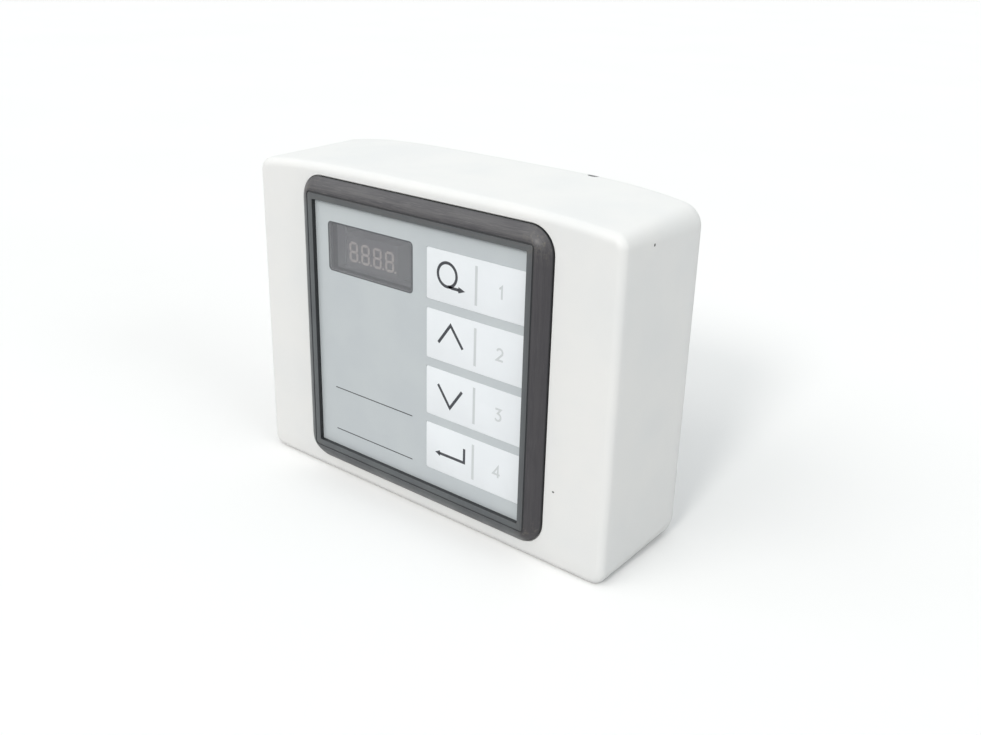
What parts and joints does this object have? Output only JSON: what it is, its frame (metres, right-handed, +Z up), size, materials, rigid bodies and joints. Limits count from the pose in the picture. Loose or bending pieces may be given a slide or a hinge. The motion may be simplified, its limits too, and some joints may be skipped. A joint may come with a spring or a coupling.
{
  "type": "operator panel",
  "caption": "Operator panel of a label applicator: moulded housing, framed key panel with sprung keys, digit display and bolted rear cover.",
  "frame": {"origin": "bottom centre of the whole part", "axes": "+X to the right seen from the front, +Y from the keys to the rear cover, +Z up"},
  "size_m": [0.171, 0.0654, 0.1303],
  "materials": {
    "housing_finish": "fine textured off-white paint on a structural foam moulding",
    "cover_finish": "fine textured off-white paint",
    "bezel_plastic": "charcoal moulding, satin with light scuffs",
    "overlay_film": "pale grey printed polyester film, satin",
    "key_film": "white printed polyester film, satin",
    "smoked_window": "smoked acrylic",
    "spacer_film": "clear adhesive spacer",
    "carrier_plastic": "black moulding",
    "plunger_plastic": "red switch actuator",
    "black_moulding": "black component moulding",
    "display_body": "dark display body",
    "digit_lens": "unlit diffused segment",
    "zinc_steel": "zinc plated sheet",
    "screw_steel": "zinc plated",
    "crystal_can": "nickel plated can",
    "brass": "turned brass",
    "connector_metal": "nickel plated",
    "board_laminate": "green solder mask",
    "capacitor_sleeve": "blue sleeve",
    "ribbon_grey": "grey flat cable",
    "seal_rubber": "black nitrile"
  },
  "bodies": {
    "panel": {"housing": "housing_finish", "rear_cover": "cover_finish", "cover_gasket": "seal_rubber", "cover_inserts": "brass", "cover_screws": "screw_steel", "mount_inserts": "brass", "bezel_frame": "bezel_plastic", "graphic_overlay": "overlay_film", "spacer_film": "spacer_film", "display_window": "smoked_window", "keypad_carrier": "carrier_plastic", "switch_feed": "black_moulding", "switch_up": "black_moulding", "switch_down": "black_moulding", "switch_enter": "black_moulding", "chassis_plate": "zinc_steel", "chassis_screws": "screw_steel", "board_standoffs": "screw_steel", "board_screws": "screw_steel", "circuit_board": "board_laminate", "display_socket": "black_moulding", "display_module": "display_body", "digit_1": "digit_lens", "digit_2": "digit_lens", "digit_3": "digit_lens", "digit_4": "digit_lens", "microcontroller": "black_moulding", "display_driver": "black_moulding", "crystal": "crystal_can", "capacitor": "capacitor_sleeve", "voltage_regulator": "black_moulding", "board_header": "black_moulding", "ribbon_plug": "black_moulding", "ribbon_cable": "ribbon_grey", "connector_shell": "connector_metal", "connector_insert": "black_moulding", "connector_contacts": "brass", "connector_nut": "connector_metal", "connector_seal": "seal_rubber"},
    "key_feed": {"key_feed": "key_film"},
    "plunger_feed": {"plunger_feed": "plunger_plastic"},
    "key_up": {"key_up": "key_film"},
    "plunger_up": {"plunger_up": "plunger_plastic"},
    "key_down": {"key_down": "key_film"},
    "plunger_down": {"plunger_down": "plunger_plastic"},
    "key_enter": {"key_enter": "key_film"},
    "plunger_enter": {"plunger_enter": "plunger_plastic"}
  },
  "joints": [
    {"name": "key_feed_press", "type": "slide", "parent": "panel", "child": "key_feed", "axis": [0, 1, 0], "range_m": [0, 0.0005], "stiffness_N_per_m": 1500, "springref_m": -0.0002},
    {"name": "plunger_feed_slide", "type": "slide", "parent": "panel", "child": "plunger_feed", "axis": [0, 1, 0], "range_m": [0, 0.0005]},
    {"name": "key_up_press", "type": "slide", "parent": "panel", "child": "key_up", "axis": [0, 1, 0], "range_m": [0, 0.0005], "stiffness_N_per_m": 1500, "springref_m": -0.0002},
    {"name": "plunger_up_slide", "type": "slide", "parent": "panel", "child": "plunger_up", "axis": [0, 1, 0], "range_m": [0, 0.0005]},
    {"name": "key_down_press", "type": "slide", "parent": "panel", "child": "key_down", "axis": [0, 1, 0], "range_m": [0, 0.0005], "stiffness_N_per_m": 1500, "springref_m": -0.0002},
    {"name": "plunger_down_slide", "type": "slide", "parent": "panel", "child": "plunger_down", "axis": [0, 1, 0], "range_m": [0, 0.0005]},
    {"name": "key_enter_press", "type": "slide", "parent": "panel", "child": "key_enter", "axis": [0, 1, 0], "range_m": [0, 0.0005], "stiffness_N_per_m": 1500, "springref_m": -0.0002},
    {"name": "plunger_enter_slide", "type": "slide", "parent": "panel", "child": "plunger_enter", "axis": [0, 1, 0], "range_m": [0, 0.0005]}
  ],
  "couplings": [
    {"joint": "plunger_feed_slide", "follows": "key_feed_press", "ratio": 1},
    {"joint": "plunger_up_slide", "follows": "key_up_press", "ratio": 1},
    {"joint": "plunger_down_slide", "follows": "key_down_press", "ratio": 1},
    {"joint": "plunger_enter_slide", "follows": "key_enter_press", "ratio": 1}
  ]
}
